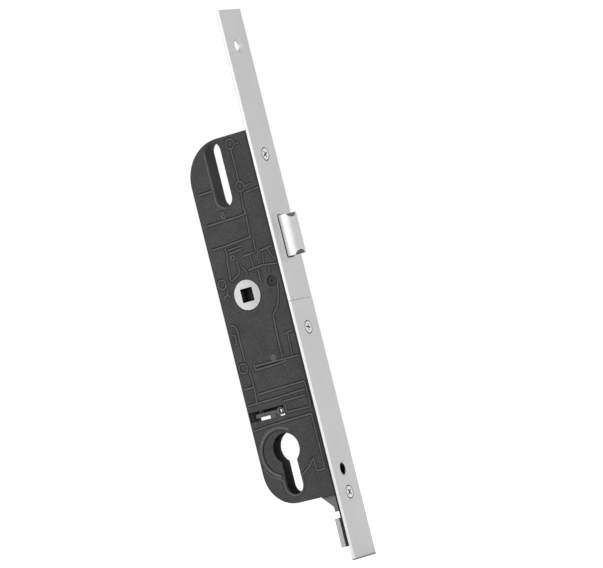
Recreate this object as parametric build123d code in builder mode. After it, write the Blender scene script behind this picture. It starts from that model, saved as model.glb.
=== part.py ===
from build123d import *
import os
from math import cos, pi, radians, sin

# Multipoint door lock: a flat gearbox case behind a two-part faceplate, with the top of
# the lower drive rail. The origin is on the hub axis in the middle plane of the case,
# X runs to the faceplate, Y across the lock to its far side, Z up.

os.makedirs("parts", exist_ok=True)

# Main sizes, in millimetres.
backset = 32.0
centres = 92.0
plate_width = 24.0
plate_thick = 2.0
plate_top = 162.8
plate_foot_reach = 39.1
case_thick = 10.0
case_back = 19.6
case_top = 92.6
case_foot = 124.4
top_corner = 24.0
foot_corner = 19.5
side_wall = 1.2
rim_wall = 2.0
slide_clear = 0.2
turn_clear = 0.3
part_clear = 0.4
overrun = 1.0
plate_foot = case_foot + plate_foot_reach

# Rail behind the faceplate, and its travel.
rail_thick = 2.4
rail_width = 19.0
rail_end_width = 22.4
rail_head_drop = 34.0
rail_travel = 14.4
connector_gap = 3.8
connector_height = 16.9
connector_thick = 3.9
connector_width = 20.8
connector_rivet_radius = 1.6
connector_rivet_spacing = 8.0
connector_groove = 0.8

plate_back = backset - plate_thick
rail_front = plate_back - slide_clear
rail_rear = rail_front - rail_thick
case_front = rail_rear - slide_clear
front_inner = case_front - rim_wall
step_drop = rail_head_drop - overrun
half_thick = case_thick / 2
inner_half = half_thick - side_wall

# Faceplate. The lowest screw sits by the foot of the case, the open hole by the cylinder.
plate_edge = 0.35
joint_drop = 10.1
joint_gap = 0.15
fixing_height = 141.2
cylinder_screw_fall = 19.1
fixing_radius = 3.0
fixing_sink_radius = 4.2
cylinder_hole_radius = 3.4
cylinder_hole_sink_radius = 4.3
upper_screw_height = 76.3
middle_screw_drop = 26.9
lower_screw_fall = 0.6
screw_radius = 2.5
screw_head_radius = 4.0
screw_length = 6.4
screw_seat_clear = 0.12
recess_span = 4.6
recess_width = 1.0
recess_depth = 1.2

# Latch.
latch_height = 24.4
latch_centre = 27.5
latch_reach = 8.3
latch_travel = 8.3
latch_half = 3.6
latch_heel = 24.0
latch_flat = 1.0
latch_tip_land = 1.8
latch_bite_radius = 2.3
window_clear = 0.5
window_corner = 1.2
shank_start = 15.2
shank_foot = 18.2
shank_top = 32.6
tail_thick = 2.2
tail_start = -6.2
tail_foot = 21.2
tail_top = 32.3
lug_foot = 11.8
tail_rivet_radius = 1.2
tail_rivet_places = (17.6, 21.4)
guide_pin_radius = 1.3
guide_pin_place = 4.0
spring_radius = 2.5
spring_wire = 0.8
spring_turns = 9
spring_seat_face = -2.0
spring_seat_thick = 2.2

# Split hub: the near half draws the latch, the far half drives the rail.
hub_ring_radius = 8.9
hub_ring_proud = 0.3
hub_ring_clear = 0.1
hub_body_radius = 10.4
spindle_side = 8.0
spindle_clear = 0.1
layer_gap = 0.35
latch_arm_reach = 16.5
latch_arm_half = 1.5
stud_ear_reach = 18.2
stud_ear_half = 1.65
stud_ear_angle = 25.0
drive_arm_reach = 20.4
drive_arm_tip = 2.2
drive_arm_neck = 1.4
drive_swing_angle = 41.4
separator_thick = 0.4
separator_front = 14.5
separator_height = 23.0
separator_post_radius = 1.2
separator_post_x = 14.8
separator_post_z = 8.2
stud_x = 18.3
stud_z = 4.3
stud_radius = 1.8
stud_recess_radius = 3.2
stud_recess_depth = 0.6
stud_dimple_radius = 0.7

# Drive slide inside the case.
slide_head_start = 17.2
slide_bar_start = 19.3
slide_fork_web = 1.8
slide_fork_jaw = 2.4
slide_foot_drop = 82.0
tongue_drop = 40.0
tongue_height = 12.0
tongue_inset = 0.25
guide_radius = 1.6
guide_drops = (24.0, 66.0)

# Deadlock slide and tumbler over the cylinder.
deadlock_throw = 4.0
deadlock_drop = 76.2
deadlock_bar_top_drop = 73.9
deadlock_bar_foot_drop = 76.7
deadlock_pad_half = 2.5
deadlock_nose_half = 1.8
deadlock_start = -17.1
deadlock_left_pad = -6.6
deadlock_right_pad = 6.3
deadlock_nose_tip = 18.7
deadlock_tooth_drop = 80.2
deadlock_tooth_width = 3.2
deadlock_pin_radius = 1.0
deadlock_pin_places = (-10.5, 12.8)
deadlock_inset = 0.25
tumbler_pin_x = 8.4
tumbler_drop = 69.9
tumbler_eye_radius = 2.4
tumbler_pin_radius = 1.1
tumbler_ring_x = 1.0
tumbler_ring_radius = 2.3
tumbler_ring_hole = 1.1
tumbler_arm_half = 1.15
tumbler_end_x = -16.2
tumbler_thick = 2.0
tumbler_layer = -0.4
tumbler_tooth_start = -6.5
tumbler_tooth_width = 3.5
tumbler_tooth_foot_drop = 73.4
shelf_drop = 62.4
shelf_thick = 1.4
shelf_end_x = -9.0
tumbler_spring_x = -12.6
tumbler_spring_radius = 1.2
tumbler_spring_wire = 0.45
tumbler_spring_turns = 4
spring_end_gap = 0.05

# Openings of the case.
handle_slot_width = 10.7
handle_slot_x = 0.5
handle_slot_foot = 52.6
handle_slot_top = 91.1
handle_slot_wall = 1.0
cylinder_radius = 9.25
cylinder_slot_width = 11.2
cylinder_slot_foot = 27.2
dish_radius = 13.7
dish_inner_radius = 5.0
dish_x = -3.0
dish_fall = 1.7
dish_edge_depth = 0.5
dish_inner_depth = 0.9
dish_start_angle = 60.0
dish_sweep_angle = 200.0
view_window_end = 5.2
view_window_top_drop = 67.0
view_window_foot_drop = 72.9
view_window_lip = 0.8
far_window_top_drop = 69.0
far_window_end = 3.4

# Bracket under the case that takes the lowest faceplate screw.
bracket_half = 3.7
bracket_inner_start = 19.0
bracket_inner_rise = 6.0
bracket_tab_reach = 10.0
bracket_tab_start = 21.3
bracket_slope_start = 14.5
bracket_slope_reach = 7.0
boss_half = 3.2
boss_rise = 4.0
boss_fall = 4.2
rail_slot_clear = 0.5

# Case rivets and the raised lines of the cover.
rivet_radius = 1.5
rivet_head_radius = 2.3
rivet_head_thick = 0.5
rib_width = 0.9
rib_height = 0.3
case_depth = case_back + plate_back
case_height = case_top + case_foot
# Each place is given as shares: across the case from its back edge, and up from its foot.
rivet_place_shares = ((0.661, 0.975), (0.655, 0.859), (0.091, 0.384), (0.534, 0.391), (0.698, 0.024))
rib_line_shares = (
    ((0.651, 0.954), (0.663, 0.888)),
    ((0.704, 0.838), (0.901, 0.843)),
    ((0.067, 0.866), (0.26, 0.866)),
    ((0.657, 0.839), (0.617, 0.785)),
    ((0.065, 0.779), (0.365, 0.781), (0.5, 0.781), (0.659, 0.785)),
    ((0.643, 0.781), (0.625, 0.722)),
    ((0.056, 0.713), (0.26, 0.714), (0.643, 0.721)),
    ((0.659, 0.711), (0.647, 0.68)),
    ((0.46, 0.676), (0.645, 0.679)),
    ((0.702, 0.677), (0.889, 0.684)),
    ((0.282, 0.694), (0.488, 0.697)),
    ((0.248, 0.711), (0.232, 0.677), (0.234, 0.627), (0.218, 0.614)),
    ((0.381, 0.674), (0.385, 0.647), (0.347, 0.634), (0.242, 0.626)),
    ((0.423, 0.646), (0.47, 0.624)),
    ((0.565, 0.676), (0.56, 0.635)),
    ((0.484, 0.635), (0.73, 0.641)),
    ((0.734, 0.674), (0.722, 0.641)),
    ((0.808, 0.679), (0.774, 0.609)),
    ((0.052, 0.627), (0.117, 0.588)),
    ((0.079, 0.504), (0.129, 0.495), (0.139, 0.479), (0.129, 0.457), (0.139, 0.418), (0.137, 0.4)),
    ((0.173, 0.375), (0.169, 0.332), (0.161, 0.286)),
    ((0.036, 0.329), (0.165, 0.329)),
    ((0.252, 0.381), (0.514, 0.383), (0.744, 0.382), (0.899, 0.381)),
    ((0.252, 0.371), (0.514, 0.373), (0.744, 0.373), (0.899, 0.371)),
    ((0.722, 0.513), (0.659, 0.503), (0.653, 0.453), (0.657, 0.385)),
    ((0.804, 0.453), (0.788, 0.386)),
    ((0.768, 0.457), (0.889, 0.458)),
    ((0.19, 0.308), (0.871, 0.312)),
    ((0.028, 0.285), (0.837, 0.293)),
    ((0.514, 0.273), (0.825, 0.276)),
    ((0.538, 0.241), (0.877, 0.242)),
    ((0.032, 0.214), (0.363, 0.221), (0.853, 0.224)),
    ((0.871, 0.312), (0.837, 0.247)),
    ((0.849, 0.221), (0.859, 0.074), (0.728, 0.072),
     (0.74, 0.097), (0.728, 0.111), (0.653, 0.091), (0.53, 0.072)),
)

# Values that follow from the sizes above.
lower_screw_drop = case_foot + lower_screw_fall
cylinder_screw_drop = centres + cylinder_screw_fall
bracket_inner_drop = case_foot - bracket_inner_rise
bracket_slope_foot_drop = case_foot + bracket_slope_reach
bracket_foot_drop = case_foot + bracket_tab_reach
connector_drop = bracket_foot_drop + connector_gap
near_face = -half_thick
latch_foot = latch_centre - latch_height / 2
latch_top = latch_centre + latch_height / 2
latch_tip = backset + latch_reach
dish_drop = centres + dish_fall
fork_height = drive_arm_reach * sin(radians(drive_swing_angle / 2))
fork_half = drive_arm_tip + part_clear
fork_floor = front_inner - turn_clear - slide_fork_web
slide_front = front_inner - turn_clear
slide_top = fork_height + fork_half + slide_fork_jaw
slide_head_foot = fork_height - fork_half - slide_fork_jaw
notch_half = deadlock_nose_half + part_clear
notch_floor = deadlock_nose_tip + deadlock_throw + part_clear
layer_deep = inner_half - slide_clear


# Sketch plane at depth y, drawn in X and Z, whose extrusions run towards the near side.
def layer(y):
    return Plane.XZ.offset(-y)


with BuildSketch() as case_profile:
    with BuildLine():
        Polyline(
            (plate_back, case_top),
            (-case_back, case_top),
            (-case_back, -case_foot),
            (case_front, -case_foot),
            (case_front, -step_drop),
            (plate_back, -step_drop),
            close=True,
        )
    make_face()
    fillet(vertices().group_by(Axis.X)[0].sort_by(Axis.Y)[-1], radius=top_corner)
    fillet(vertices().group_by(Axis.Y)[0].sort_by(Axis.X)[0], radius=foot_corner)

with BuildSketch() as hollow_profile:
    with BuildLine():
        Polyline(
            (front_inner, case_top - rim_wall),
            (-case_back + rim_wall, case_top - rim_wall),
            (-case_back + rim_wall, -case_foot + rim_wall),
            (front_inner, -case_foot + rim_wall),
            close=True,
        )
    make_face()
    fillet(vertices().group_by(Axis.X)[0].sort_by(Axis.Y)[-1], radius=top_corner - rim_wall)
    fillet(vertices().group_by(Axis.Y)[0].sort_by(Axis.X)[0], radius=foot_corner - rim_wall)

# Cylinder cut-out: a round head and a round-ended slot under it.
with BuildSketch() as cylinder_profile:
    with Locations((0, -centres)):
        Circle(cylinder_radius)
    with Locations((0, -centres - cylinder_slot_foot / 2 + cylinder_slot_width / 4)):
        Rectangle(cylinder_slot_width, cylinder_slot_foot - cylinder_slot_width / 2)
    with Locations((0, -centres - cylinder_slot_foot + cylinder_slot_width / 2)):
        Circle(cylinder_slot_width / 2)

handle_slot_height = handle_slot_top - handle_slot_foot
handle_slot_middle = (handle_slot_top + handle_slot_foot) / 2
with BuildSketch() as handle_profile:
    with Locations((handle_slot_x, handle_slot_middle)):
        SlotOverall(handle_slot_height, handle_slot_width, rotation=90)

view_window_height = view_window_foot_drop - view_window_top_drop
view_window_middle = (view_window_foot_drop + view_window_top_drop) / 2
view_window_length = case_back - view_window_lip + view_window_end
with BuildSketch() as view_profile:
    with Locations((view_window_end - view_window_length / 2, -view_window_middle)):
        Rectangle(view_window_length, view_window_height)

# The window of the far wall is lower and stops at the rim.
far_window_height = view_window_foot_drop - far_window_top_drop
far_window_length = case_back - rim_wall + far_window_end
with BuildSketch() as far_window_profile:
    with Locations((far_window_end - far_window_length / 2, -view_window_foot_drop + far_window_height / 2)):
        Rectangle(far_window_length, far_window_height)

rivet_places = [(-case_back + u * case_depth, -case_foot + v * case_height) for u, v in rivet_place_shares]

# Rear shell: far side wall with the rim that closes on the cover.
shell_depth = case_thick - side_wall
with BuildPart() as case_body:
    with BuildSketch(layer(half_thick)):
        add(case_profile.sketch)
    extrude(amount=shell_depth)
    with BuildSketch(layer(inner_half)):
        add(hollow_profile.sketch)
    extrude(amount=2 * inner_half, mode=Mode.SUBTRACT)
    # Wall round the handle slot.
    with BuildSketch(layer(half_thick)):
        with Locations((handle_slot_x, handle_slot_middle)):
            SlotOverall(
                handle_slot_height + 2 * handle_slot_wall,
                handle_slot_width + 2 * handle_slot_wall,
                rotation=90,
            )
    extrude(amount=shell_depth)
    # Posts that carry the separator, and the seats of both springs.
    with BuildSketch(layer(inner_half)):
        with Locations((-separator_post_x, separator_post_z), (-separator_post_x, -separator_post_z)):
            Circle(separator_post_radius)
    extrude(amount=inner_half - separator_thick / 2)
    seat_height = latch_top - shank_top - part_clear
    with BuildSketch(layer(inner_half)):
        with Locations((spring_seat_face - spring_seat_thick / 2, latch_top - seat_height / 2)):
            Rectangle(spring_seat_thick, seat_height)
        with Locations(((shelf_end_x - case_back + rim_wall) / 2, -shelf_drop - shelf_thick / 2)):
            Rectangle(shelf_end_x + case_back - rim_wall, shelf_thick)
    extrude(amount=2 * inner_half)
    # Trim whatever stands outside the rounded top corner, then open the cut-outs.
    with BuildSketch(layer(half_thick)):
        add(case_profile.sketch)
    extrude(amount=shell_depth, mode=Mode.INTERSECT)
    with BuildSketch(layer(half_thick + overrun)):
        add(handle_profile.sketch)
    extrude(amount=case_thick + 2 * overrun, mode=Mode.SUBTRACT)
    with BuildSketch(layer(half_thick + overrun)):
        add(cylinder_profile.sketch)
        add(far_window_profile.sketch)
        Circle(hub_ring_radius + hub_ring_clear)
        with Locations(*rivet_places):
            Circle(rivet_radius)
    extrude(amount=side_wall + 2 * overrun, mode=Mode.SUBTRACT)
    # Latch opening, tongue slot, tapped holes and the cylinder screw's way in.
    latch_gap = latch_height + 2 * part_clear
    with BuildSketch(Plane.YZ.offset(front_inner - overrun)):
        with Locations((0, latch_centre)):
            Rectangle(2 * inner_half, latch_gap)
    extrude(amount=plate_back - front_inner + 2 * overrun, mode=Mode.SUBTRACT)
    tongue_slot_height = tongue_height + rail_travel + 2 * part_clear
    tongue_slot_middle = -tongue_drop - (tongue_height + rail_travel) / 2
    with BuildSketch(Plane.YZ.offset(front_inner - overrun)):
        with Locations((inner_half / 2, tongue_slot_middle)):
            Rectangle(inner_half, tongue_slot_height)
        with Locations((0, -cylinder_screw_drop)):
            Circle(cylinder_hole_radius)
    extrude(amount=rim_wall + 2 * overrun, mode=Mode.SUBTRACT)
    with BuildSketch(Plane.YZ.offset(front_inner - overrun)):
        with Locations((0, upper_screw_height), (0, -middle_screw_drop)):
            Circle(screw_radius)
    extrude(amount=plate_back - front_inner + 2 * overrun, mode=Mode.SUBTRACT)
    # Corner that the bracket fills.
    bracket_room = case_foot - bracket_inner_drop
    bracket_span = plate_back - bracket_inner_start
    with BuildSketch(layer(bracket_half)):
        with Locations((bracket_inner_start + bracket_span / 2, -bracket_inner_drop - bracket_room / 2)):
            Rectangle(bracket_span, bracket_room)
    extrude(amount=bracket_half + inner_half, mode=Mode.SUBTRACT)
case_body.part.label = "case_body"
export_step(case_body.part, "parts/case_body.step")

# Cover on the near side, with the dish and the sunk stud seat.
with BuildPart() as case_cover:
    with BuildSketch(layer(-inner_half)):
        add(case_profile.sketch)
    extrude(amount=side_wall)
    with BuildSketch(layer(-inner_half + separator_thick)):
        with Locations((-separator_post_x, separator_post_z), (-separator_post_x, -separator_post_z)):
            Circle(separator_post_radius)
    extrude(amount=separator_thick)
    with BuildSketch(layer(-separator_thick / 2)):
        with Locations((-separator_post_x, separator_post_z), (-separator_post_x, -separator_post_z)):
            Circle(separator_post_radius)
    extrude(amount=inner_half - separator_thick / 2)
    with BuildSketch(layer(-inner_half + overrun)):
        add(cylinder_profile.sketch)
        add(handle_profile.sketch)
        add(view_profile.sketch)
        Circle(hub_ring_radius + hub_ring_clear)
        with Locations((stud_x, stud_z)):
            Circle(stud_radius)
        with Locations(*rivet_places):
            Circle(rivet_radius)
    extrude(amount=side_wall + 2 * overrun, mode=Mode.SUBTRACT)
    with BuildSketch(layer(near_face + stud_recess_depth)):
        with Locations((stud_x, stud_z)):
            Circle(stud_recess_radius)
    extrude(amount=stud_recess_depth + overrun, mode=Mode.SUBTRACT)
    with BuildSketch(layer(near_face + rivet_head_thick)):
        with Locations(*rivet_places):
            Circle(rivet_head_radius)
    extrude(amount=rivet_head_thick + overrun, mode=Mode.SUBTRACT)
    # The dish beside the cylinder falls towards the cut-out.
    dish_plane = Plane(
        origin=(dish_x, 0, -dish_drop),
        x_dir=(cos(radians(dish_start_angle)), 0, sin(radians(dish_start_angle))),
        z_dir=(-sin(radians(dish_start_angle)), 0, cos(radians(dish_start_angle))),
    )
    with BuildSketch(dish_plane):
        with BuildLine():
            Polyline(
                (dish_inner_radius, near_face - overrun),
                (dish_radius, near_face - overrun),
                (dish_radius, near_face + dish_edge_depth),
                (dish_inner_radius, near_face + dish_inner_depth),
                close=True,
            )
        make_face()
    dish_axis = Axis((dish_x, 0, -dish_drop), (0, -1, 0))
    revolve(axis=dish_axis, revolution_arc=dish_sweep_angle, mode=Mode.SUBTRACT)
case_cover.part.label = "case_cover"
export_step(case_cover.part, "parts/case_cover.step")

# Raised lines on the cover, clear of its openings, the dish and the rivet heads.
with BuildPart() as cover_ribs:
    for line in rib_line_shares:
        points = [(-case_back + u * case_depth, -case_foot + v * case_height) for u, v in line]
        with BuildSketch(layer(near_face)):
            with BuildLine():
                Polyline(*points)
            trace(line_width=rib_width)
        extrude(amount=rib_height)
    with BuildSketch(layer(near_face + overrun)):
        add(handle_profile.sketch)
        add(view_profile.sketch)
        Circle(hub_ring_radius + hub_ring_clear)
        with Locations((dish_x, -dish_drop)):
            Circle(dish_radius)
        with Locations((stud_x, stud_z)):
            Circle(stud_recess_radius)
        with Locations(*rivet_places):
            Circle(rivet_head_radius)
    extrude(amount=rib_height + 2 * overrun, mode=Mode.SUBTRACT)
cover_ribs.part.label = "cover_ribs"
export_step(cover_ribs.part, "parts/cover_ribs.step")

# Rivets that close the case, one in each place.
with BuildPart() as case_rivets:
    with BuildSketch(layer(half_thick)):
        with Locations(*rivet_places):
            Circle(rivet_radius)
    extrude(amount=case_thick - rivet_head_thick)
    with BuildSketch(layer(near_face + rivet_head_thick)):
        with Locations(*rivet_places):
            Circle(rivet_head_radius)
    extrude(amount=rivet_head_thick)
case_rivets.part.label = "case_rivets"
export_step(case_rivets.part, "parts/case_rivets.step")

# Bracket: block inside the case's front corner, sloped gusset and tab below it.
with BuildPart() as lower_bracket:
    with BuildSketch(layer(bracket_half)):
        with BuildLine():
            Polyline(
                (bracket_slope_start, -case_foot),
                (bracket_inner_start, -case_foot),
                (bracket_inner_start, -bracket_inner_drop),
                (case_front, -bracket_inner_drop),
                (case_front, -bracket_foot_drop),
                (bracket_tab_start, -bracket_foot_drop),
                (bracket_tab_start, -bracket_slope_foot_drop),
                close=True,
            )
        make_face()
    extrude(amount=2 * bracket_half)
    with BuildSketch(Plane.YZ.offset(case_front)):
        with Locations((0, -lower_screw_drop + (boss_rise - boss_fall) / 2)):
            Rectangle(2 * boss_half, boss_rise + boss_fall)
    extrude(amount=plate_back - case_front)
    with BuildSketch(Plane.YZ.offset(bracket_inner_start - overrun)):
        with Locations((0, -lower_screw_drop)):
            Circle(screw_radius)
    extrude(amount=plate_back - bracket_inner_start + 2 * overrun, mode=Mode.SUBTRACT)
lower_bracket.part.label = "lower_bracket"
export_step(lower_bracket.part, "parts/lower_bracket.step")

# Thin plate between the two hub halves.
with BuildPart() as separator:
    separator_length = separator_front + case_back - rim_wall
    with BuildSketch(layer(separator_thick / 2)):
        with Locations((separator_front - separator_length / 2, 0)):
            RectangleRounded(separator_length, separator_height, separator_post_radius)
    extrude(amount=separator_thick)
separator.part.label = "separator"
export_step(separator.part, "parts/separator.step")

# Faceplate in two lengths that meet at a joint line.
sink_depth = fixing_sink_radius - fixing_radius
upper_length = plate_top + joint_drop - joint_gap
with BuildPart() as faceplate_upper:
    with BuildSketch(Plane.YZ.offset(plate_back)):
        with Locations((0, plate_top - upper_length / 2)):
            Rectangle(plate_width, upper_length)
    extrude(amount=plate_thick)
    chamfer(edges().filter_by(Axis.Z).sort_by(Axis.X)[-2:], length=plate_edge)
    with BuildSketch(Plane.YZ.offset(plate_back - overrun)):
        with Locations((0, latch_centre)):
            RectangleRounded(
                2 * (latch_half + window_clear), latch_height + 2 * window_clear, window_corner
            )
    extrude(amount=plate_thick + 2 * overrun, mode=Mode.SUBTRACT)
    with Locations(Plane(origin=(backset, 0, fixing_height), z_dir=(1, 0, 0))):
        CounterSinkHole(radius=fixing_radius, counter_sink_radius=fixing_sink_radius, depth=plate_thick)
    with Locations(Plane(origin=(backset, 0, upper_screw_height), z_dir=(1, 0, 0))):
        CounterSinkHole(
            radius=screw_radius + screw_seat_clear,
            counter_sink_radius=screw_head_radius + screw_seat_clear,
            depth=plate_thick,
        )
faceplate_upper.part.label = "faceplate_upper"
export_step(faceplate_upper.part, "parts/faceplate_upper.step")

lower_length = plate_foot - joint_drop
with BuildPart() as faceplate_lower:
    with BuildSketch(Plane.YZ.offset(plate_back)):
        with Locations((0, -joint_drop - lower_length / 2)):
            Rectangle(plate_width, lower_length)
    extrude(amount=plate_thick)
    chamfer(edges().filter_by(Axis.Z).sort_by(Axis.X)[-2:], length=plate_edge)
    with Locations(Plane(origin=(backset, 0, -cylinder_screw_drop), z_dir=(1, 0, 0))):
        CounterSinkHole(
            radius=cylinder_hole_radius,
            counter_sink_radius=cylinder_hole_sink_radius,
            depth=plate_thick,
        )
    with Locations(
        Plane(origin=(backset, 0, -middle_screw_drop), z_dir=(1, 0, 0)),
        Plane(origin=(backset, 0, -lower_screw_drop), z_dir=(1, 0, 0)),
    ):
        CounterSinkHole(
            radius=screw_radius + screw_seat_clear,
            counter_sink_radius=screw_head_radius + screw_seat_clear,
            depth=plate_thick,
        )
faceplate_lower.part.label = "faceplate_lower"
export_step(faceplate_lower.part, "parts/faceplate_lower.step")

# Countersunk screws with a cross recess, from the faceplate into the case and the bracket.
screw_places = ((0, upper_screw_height), (0, -middle_screw_drop), (0, -lower_screw_drop))
screw_head_depth = screw_head_radius - screw_radius
with BuildPart() as faceplate_screws:
    with BuildSketch(Plane.YZ.offset(backset - screw_length)):
        with Locations(*screw_places):
            Circle(screw_radius)
    extrude(amount=screw_length)
    for y, z in screw_places:
        with BuildSketch(Plane.YZ.offset(backset - screw_head_depth)):
            with Locations((y, z)):
                Circle(screw_radius)
        with BuildSketch(Plane.YZ.offset(backset)):
            with Locations((y, z)):
                Circle(screw_head_radius)
        loft()
    with BuildSketch(Plane.YZ.offset(backset - recess_depth)):
        with Locations(*screw_places):
            Rectangle(recess_span, recess_width)
            Rectangle(recess_width, recess_span)
    extrude(amount=recess_depth + overrun, mode=Mode.SUBTRACT)
faceplate_screws.part.label = "faceplate_screws"
export_step(faceplate_screws.part, "parts/faceplate_screws.step")

# Near half of the hub: ring in the cover, arm behind the latch tail, ear on the stop stud.
with BuildPart() as latch_follower:
    with BuildSketch(layer(-layer_gap)):
        Circle(hub_body_radius)
        with Locations((0, latch_arm_reach / 2)):
            Rectangle(2 * latch_arm_half, latch_arm_reach)
        with Locations((0, latch_arm_reach)):
            Circle(latch_arm_half)
        with PolarLocations(stud_ear_reach, 1, start_angle=stud_ear_angle):
            Circle(stud_ear_half)
        with PolarLocations(stud_ear_reach / 2, 1, start_angle=stud_ear_angle):
            Rectangle(stud_ear_reach, 2 * stud_ear_half)
    extrude(amount=layer_deep - layer_gap)
    with BuildSketch(layer(-layer_deep)):
        Circle(hub_ring_radius)
    extrude(amount=half_thick + hub_ring_proud - layer_deep)
    with BuildSketch(layer(0)):
        Rectangle(spindle_side + spindle_clear, spindle_side + spindle_clear)
    extrude(amount=half_thick + hub_ring_proud + overrun, mode=Mode.SUBTRACT)
latch_follower.part.label = "latch_follower"
export_step(latch_follower.part, "parts/latch_follower.step")

# Far half of the hub: ring in the far wall and a round-ended arm in the slide's fork.
with BuildPart() as drive_follower:
    with BuildSketch(layer(layer_deep)):
        Circle(hub_body_radius)
        with PolarLocations(drive_arm_reach, 1, start_angle=drive_swing_angle / 2):
            Circle(drive_arm_tip)
        with PolarLocations(drive_arm_reach / 2, 1, start_angle=drive_swing_angle / 2):
            Rectangle(drive_arm_reach, 2 * drive_arm_neck)
    extrude(amount=layer_deep - layer_gap)
    with BuildSketch(layer(half_thick + hub_ring_proud)):
        Circle(hub_ring_radius)
    extrude(amount=half_thick + hub_ring_proud - layer_deep)
    with BuildSketch(layer(half_thick + hub_ring_proud + overrun)):
        Rectangle(spindle_side + spindle_clear, spindle_side + spindle_clear)
    extrude(amount=half_thick + hub_ring_proud + overrun, mode=Mode.SUBTRACT)
drive_follower.part.label = "drive_follower"
export_step(drive_follower.part, "parts/drive_follower.step")

# Stud that stops the latch half of the hub, set in the cover.
with BuildPart() as stop_stud:
    with BuildSketch(layer(-layer_gap - slide_clear)):
        with Locations((stud_x, stud_z)):
            Circle(stud_radius)
    extrude(amount=half_thick - stud_recess_depth - layer_gap - slide_clear)
    with BuildSketch(layer(near_face + stud_recess_depth)):
        with Locations((stud_x, stud_z)):
            Circle(stud_recess_radius - turn_clear)
            Circle(stud_dimple_radius, mode=Mode.SUBTRACT)
    extrude(amount=stud_recess_depth / 2)
stop_stud.part.label = "stop_stud"
export_step(stop_stud.part, "parts/stop_stud.step")

# Latch bolt: flat near side that rounds over to the tip, with a scoop at each end.
bevel_start = backset + latch_flat
with BuildPart() as latch_bolt:
    with BuildSketch(Plane.XY.offset(latch_foot)):
        with BuildLine():
            Line((latch_heel, latch_half), (latch_heel, -latch_half))
            Line((latch_heel, -latch_half), (bevel_start, -latch_half))
            tip_corner = (latch_tip, latch_half - latch_tip_land)
            bevel = TangentArc((bevel_start, -latch_half), tip_corner, tangent=(1, 0))
            Line(bevel @ 1, (latch_tip, latch_half))
            Line((latch_tip, latch_half), (latch_heel, latch_half))
        make_face()
    extrude(amount=latch_height)
    shank_height = shank_top - shank_foot
    with BuildSketch(layer(latch_half)):
        with Locations(((shank_start + latch_heel) / 2, shank_foot + shank_height / 2)):
            Rectangle(latch_heel - shank_start, shank_height)
    extrude(amount=latch_half)
    with BuildSketch(Plane.YZ.offset(backset + latch_flat / 2)):
        with Locations((0, latch_foot), (0, latch_top)):
            Circle(latch_bite_radius)
    extrude(amount=latch_reach, mode=Mode.SUBTRACT)
    with BuildSketch(layer(latch_half + overrun)):
        with Locations(*[(x, latch_centre) for x in tail_rivet_places]):
            Circle(tail_rivet_radius)
    extrude(amount=latch_half + 2 * overrun, mode=Mode.SUBTRACT)
latch_bolt.part.label = "latch_bolt"
export_step(latch_bolt.part, "parts/latch_bolt.step")

# Tail plate with the lug behind the hub arm and a slot for the guide pin.
lug_front = -latch_arm_half - layer_gap
tail_slot_half = guide_pin_radius + turn_clear
tail_slot_length = latch_travel + 2 * tail_slot_half
with BuildPart() as latch_tail:
    with BuildSketch(layer(0)):
        with BuildLine():
            Polyline(
                (tail_start, lug_foot),
                (lug_front, lug_foot),
                (lug_front, tail_foot),
                (latch_heel, tail_foot),
                (latch_heel, tail_top),
                (tail_start, tail_top),
                close=True,
            )
        make_face()
        with Locations((guide_pin_place + latch_travel / 2, latch_centre)):
            SlotOverall(tail_slot_length, 2 * tail_slot_half, mode=Mode.SUBTRACT)
        with Locations(*[(x, latch_centre) for x in tail_rivet_places]):
            Circle(tail_rivet_radius, mode=Mode.SUBTRACT)
    extrude(amount=tail_thick)
latch_tail.part.label = "latch_tail"
export_step(latch_tail.part, "parts/latch_tail.step")

with BuildPart() as tail_rivets:
    with BuildSketch(layer(latch_half)):
        with Locations(*[(x, latch_centre) for x in tail_rivet_places]):
            Circle(tail_rivet_radius)
    extrude(amount=latch_half + tail_thick)
tail_rivets.part.label = "tail_rivets"
export_step(tail_rivets.part, "parts/tail_rivets.step")

# Pin that guides the latch tail, from wall to wall.
with BuildPart() as latch_guide_pin:
    with BuildSketch(layer(inner_half)):
        with Locations((guide_pin_place, latch_centre)):
            Circle(guide_pin_radius)
    extrude(amount=2 * inner_half)
latch_guide_pin.part.label = "latch_guide_pin"
export_step(latch_guide_pin.part, "parts/latch_guide_pin.step")

# Latch spring between its seat in the case and the heel of the latch.
spring_axis_height = (latch_top + shank_top) / 2 + part_clear / 2
spring_start = spring_seat_face + spring_end_gap + spring_wire / 2
spring_length = latch_heel - spring_end_gap - spring_wire / 2 - spring_start
spring_path = Helix(
    pitch=spring_length / spring_turns,
    height=spring_length,
    radius=spring_radius,
    center=(spring_start, 0, spring_axis_height),
    direction=(1, 0, 0),
)
with BuildPart() as latch_spring:
    with BuildSketch(Plane(origin=spring_path @ 0, z_dir=spring_path % 0)):
        Circle(spring_wire / 2)
    sweep(path=spring_path, is_frenet=True)
latch_spring.part.label = "latch_spring"
export_step(latch_spring.part, "parts/latch_spring.step")

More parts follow.
